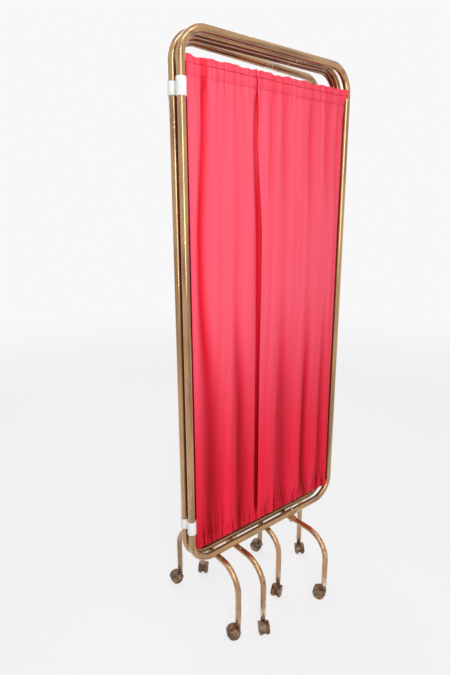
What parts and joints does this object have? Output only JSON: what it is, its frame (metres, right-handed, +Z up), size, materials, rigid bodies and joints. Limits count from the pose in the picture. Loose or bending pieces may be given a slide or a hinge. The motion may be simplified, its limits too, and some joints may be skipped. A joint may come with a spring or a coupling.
{
  "type": "folding privacy screen",
  "caption": "Folding ward privacy screen on casters: tubular steel panels with gathered curtains, joined by plastic hinge clips.",
  "frame": {"origin": "on the floor, under the middle of the folded stack of panels", "axes": "+Z up, +X along the front panel from its left tube to its right tube, -Y the side that the front panel faces"},
  "size_m": [0.7032, 0.5, 1.77],
  "materials": {
    "tube_paint": "worn bronze-gold enamel, satin",
    "foot_paint": "worn bronze enamel, satin, scraped near the ends",
    "hood_paint": "brown enamel",
    "curtain_cloth": "bright red-pink satin, gathered",
    "rod_steel": "plain drawn wire",
    "bolt_steel": "zinc plated",
    "clip_plastic": "white moulded plastic",
    "wheel_rubber": "grey-brown, dusty"
  },
  "bodies": {
    "panel_1": {"upper_frame_1": "tube_paint", "lower_frame_1": "tube_paint", "top_curtain_rod_1": "rod_steel", "bottom_curtain_rod_1": "rod_steel", "curtain_1": "curtain_cloth", "foot_arch_1": "foot_paint", "foot_saddle_1": "foot_paint", "foot_bolt_1": "bolt_steel"},
    "panel_2": {"upper_frame_2": "tube_paint", "lower_frame_2": "tube_paint", "top_curtain_rod_2": "rod_steel", "bottom_curtain_rod_2": "rod_steel", "curtain_2": "curtain_cloth", "foot_arch_2": "foot_paint", "foot_saddle_2": "foot_paint", "foot_bolt_2": "bolt_steel"},
    "panel_3": {"upper_frame_3": "tube_paint", "lower_frame_3": "tube_paint", "top_curtain_rod_3": "rod_steel", "bottom_curtain_rod_3": "rod_steel", "curtain_3": "curtain_cloth", "foot_arch_3": "foot_paint", "foot_saddle_3": "foot_paint", "foot_bolt_3": "bolt_steel", "support_leg": "foot_paint", "support_leg_bolt": "bolt_steel"},
    "panel_4": {"upper_frame_4": "tube_paint", "lower_frame_4": "tube_paint", "top_curtain_rod_4": "rod_steel", "bottom_curtain_rod_4": "rod_steel", "curtain_4": "curtain_cloth", "foot_arch_4": "foot_paint", "foot_saddle_4": "foot_paint", "foot_bolt_4": "bolt_steel"},
    "clips_1_2": {"hinge_clip_1_2_top": "clip_plastic", "hinge_clip_1_2_bottom": "clip_plastic"},
    "clips_2_3": {"hinge_clip_2_3_top": "clip_plastic", "hinge_clip_2_3_bottom": "clip_plastic"},
    "clips_3_4": {"hinge_clip_3_4_top": "clip_plastic", "hinge_clip_3_4_bottom": "clip_plastic"},
    "caster_front_1": {"caster_hood_front_1": "hood_paint"},
    "wheels_front_1": {"caster_wheels_front_1": "wheel_rubber"},
    "caster_rear_1": {"caster_hood_rear_1": "hood_paint"},
    "wheels_rear_1": {"caster_wheels_rear_1": "wheel_rubber"},
    "caster_front_2": {"caster_hood_front_2": "hood_paint"},
    "wheels_front_2": {"caster_wheels_front_2": "wheel_rubber"},
    "caster_rear_2": {"caster_hood_rear_2": "hood_paint"},
    "wheels_rear_2": {"caster_wheels_rear_2": "wheel_rubber"},
    "caster_front_3": {"caster_hood_front_3": "hood_paint"},
    "wheels_front_3": {"caster_wheels_front_3": "wheel_rubber"},
    "caster_rear_3": {"caster_hood_rear_3": "hood_paint"},
    "wheels_rear_3": {"caster_wheels_rear_3": "wheel_rubber"},
    "caster_front_4": {"caster_hood_front_4": "hood_paint"},
    "wheels_front_4": {"caster_wheels_front_4": "wheel_rubber"},
    "caster_rear_4": {"caster_hood_rear_4": "hood_paint"},
    "wheels_rear_4": {"caster_wheels_rear_4": "wheel_rubber"},
    "caster_leg": {"caster_hood_leg": "hood_paint"},
    "wheels_leg": {"caster_wheels_leg": "wheel_rubber"}
  },
  "joints": [
    {"name": "clips_1_2_pivot", "type": "hinge", "parent": "panel_1", "child": "clips_1_2", "pos_m": [-0.33822, -0.07231, 0.366], "axis": [0, 0, 1], "range_deg": [0, 90]},
    {"name": "panel_2_fold", "type": "hinge", "parent": "clips_1_2", "child": "panel_2", "pos_m": [-0.33822, -0.03631, 0.366], "axis": [0, 0, 1], "range_deg": [0, 90]},
    {"name": "clips_2_3_pivot", "type": "hinge", "parent": "panel_2", "child": "clips_2_3", "pos_m": [0.30178, -0.03631, 0.366], "axis": [0, 0, -1], "range_deg": [0, 55]},
    {"name": "panel_3_fold", "type": "hinge", "parent": "clips_2_3", "child": "panel_3", "pos_m": [0.32243, -0.00682, 0.366], "axis": [0, 0, -1], "range_deg": [0, 125]},
    {"name": "clips_3_4_pivot", "type": "hinge", "parent": "panel_3", "child": "clips_3_4", "pos_m": [-0.31757, -0.00682, 0.366], "axis": [0, 0, 1], "range_deg": [0, 125]},
    {"name": "panel_4_fold", "type": "hinge", "parent": "clips_3_4", "child": "panel_4", "pos_m": [-0.29692, 0.02267, 0.366], "axis": [0, 0, 1], "range_deg": [-4, 50]},
    {"name": "caster_swivel_front_1", "type": "hinge", "parent": "panel_1", "child": "caster_front_1", "pos_m": [0.1021, -0.23631, 0.055], "axis": [0, 0, 1], "continuous": true},
    {"name": "wheels_roll_front_1", "type": "hinge", "parent": "caster_front_1", "child": "wheels_front_1", "pos_m": [0.0946, -0.22332, 0.01932], "axis": [-0.866, -0.5, 0], "continuous": true},
    {"name": "caster_swivel_rear_1", "type": "hinge", "parent": "panel_1", "child": "caster_rear_1", "pos_m": [0.1021, 0.09169, 0.055], "axis": [0, 0, 1], "continuous": true},
    {"name": "wheels_roll_rear_1", "type": "hinge", "parent": "caster_rear_1", "child": "wheels_rear_1", "pos_m": [0.09529, 0.10506, 0.01932], "axis": [-0.891, -0.454, 0], "continuous": true},
    {"name": "caster_swivel_front_2", "type": "hinge", "parent": "panel_2", "child": "caster_front_2", "pos_m": [-0.15646, -0.20031, 0.055], "axis": [0, 0, 1], "continuous": true},
    {"name": "wheels_roll_front_2", "type": "hinge", "parent": "caster_front_2", "child": "wheels_front_2", "pos_m": [-0.16396, -0.2133, 0.01932], "axis": [0.866, -0.5, 0], "continuous": true},
    {"name": "caster_swivel_rear_2", "type": "hinge", "parent": "panel_2", "child": "caster_rear_2", "pos_m": [-0.15646, 0.12769, 0.055], "axis": [0, 0, 1], "continuous": true},
    {"name": "wheels_roll_rear_2", "type": "hinge", "parent": "caster_rear_2", "child": "wheels_rear_2", "pos_m": [-0.14531, 0.13773, 0.01932], "axis": [-0.6691, 0.7431, 0], "continuous": true},
    {"name": "caster_swivel_front_3", "type": "hinge", "parent": "panel_3", "child": "caster_front_3", "pos_m": [-0.23629, -0.17082, 0.055], "axis": [0, 0, 1], "continuous": true},
    {"name": "wheels_roll_front_3", "type": "hinge", "parent": "caster_front_3", "child": "wheels_front_3", "pos_m": [-0.24928, -0.16332, 0.01932], "axis": [-0.5, -0.866, 0], "continuous": true},
    {"name": "caster_swivel_rear_3", "type": "hinge", "parent": "panel_3", "child": "caster_rear_3", "pos_m": [-0.23629, 0.15718, 0.055], "axis": [0, 0, 1], "continuous": true},
    {"name": "wheels_roll_rear_3", "type": "hinge", "parent": "caster_rear_3", "child": "wheels_rear_3", "pos_m": [-0.25078, 0.16106, 0.01932], "axis": [-0.2588, -0.9659, 0], "continuous": true},
    {"name": "caster_swivel_front_4", "type": "hinge", "parent": "panel_4", "child": "caster_front_4", "pos_m": [-0.00338, -0.11627, 0.055], "axis": [0, 0, 1], "continuous": true},
    {"name": "wheels_roll_front_4", "type": "hinge", "parent": "caster_front_4", "child": "wheels_front_4", "pos_m": [-0.01674, -0.12308, 0.01932], "axis": [0.454, -0.891, 0], "continuous": true},
    {"name": "caster_swivel_rear_4", "type": "hinge", "parent": "panel_4", "child": "caster_rear_4", "pos_m": [-0.03196, 0.21048, 0.055], "axis": [0, 0, 1], "continuous": true},
    {"name": "wheels_roll_rear_4", "type": "hinge", "parent": "caster_rear_4", "child": "wheels_rear_4", "pos_m": [-0.03457, 0.22525, 0.01932], "axis": [-0.9848, -0.1736, 0], "continuous": true},
    {"name": "caster_swivel_leg", "type": "hinge", "parent": "panel_3", "child": "caster_leg", "pos_m": [0.22259, -0.00682, 0.055], "axis": [0, 0, 1], "continuous": true},
    {"name": "wheels_roll_leg", "type": "hinge", "parent": "caster_leg", "child": "wheels_leg", "pos_m": [0.21398, -0.01911, 0.01932], "axis": [0.8192, -0.5736, 0], "continuous": true}
  ]
}
